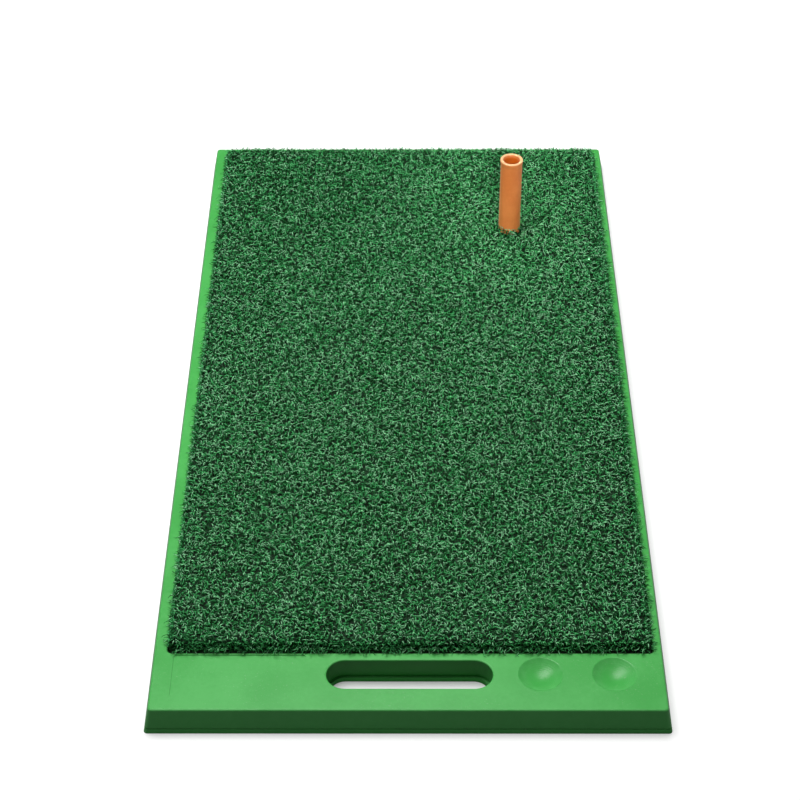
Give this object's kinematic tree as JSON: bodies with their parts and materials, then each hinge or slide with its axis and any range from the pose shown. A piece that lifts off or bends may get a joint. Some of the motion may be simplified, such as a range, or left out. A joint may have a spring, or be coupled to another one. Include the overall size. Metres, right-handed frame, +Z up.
{
  "type": "golf hitting mat",
  "caption": "Golf hitting mat: rectangular turf in a moulded rubber tray with a hand slot, ball cups and a hollow rubber tee that pulls out from below.",
  "frame": {"origin": "middle of the footprint, on the surface the mat lies on", "axes": "+Y from the handle end to the far end, along the longest side; +X to the right seen from the handle end; +Z up out of the turf"},
  "size_m": [0.33, 0.635, 0.0885],
  "materials": {
    "tray_rubber": "satin moulded rubber",
    "sole_rubber": "matte rubber",
    "pad_foam": "matte closed-cell foam",
    "latex_coat": "matte latex",
    "woven_backing": "woven cloth",
    "turf_yarn": "curled synthetic yarn",
    "tee_rubber": "satin rubber"
  },
  "bodies": {
    "mat": {"base_tray": "tray_rubber", "anti_slip_sole": "sole_rubber", "shock_pad": "pad_foam", "turf_latex_coat": "latex_coat", "turf_primary_backing": "woven_backing", "turf_pile": "turf_yarn"},
    "tee": {"rubber_tee": "tee_rubber"}
  },
  "joints": [
    {"name": "tee_pull", "type": "slide", "parent": "mat", "child": "tee", "axis": [0, 0, -1], "range_m": [0, 0.09]}
  ]
}
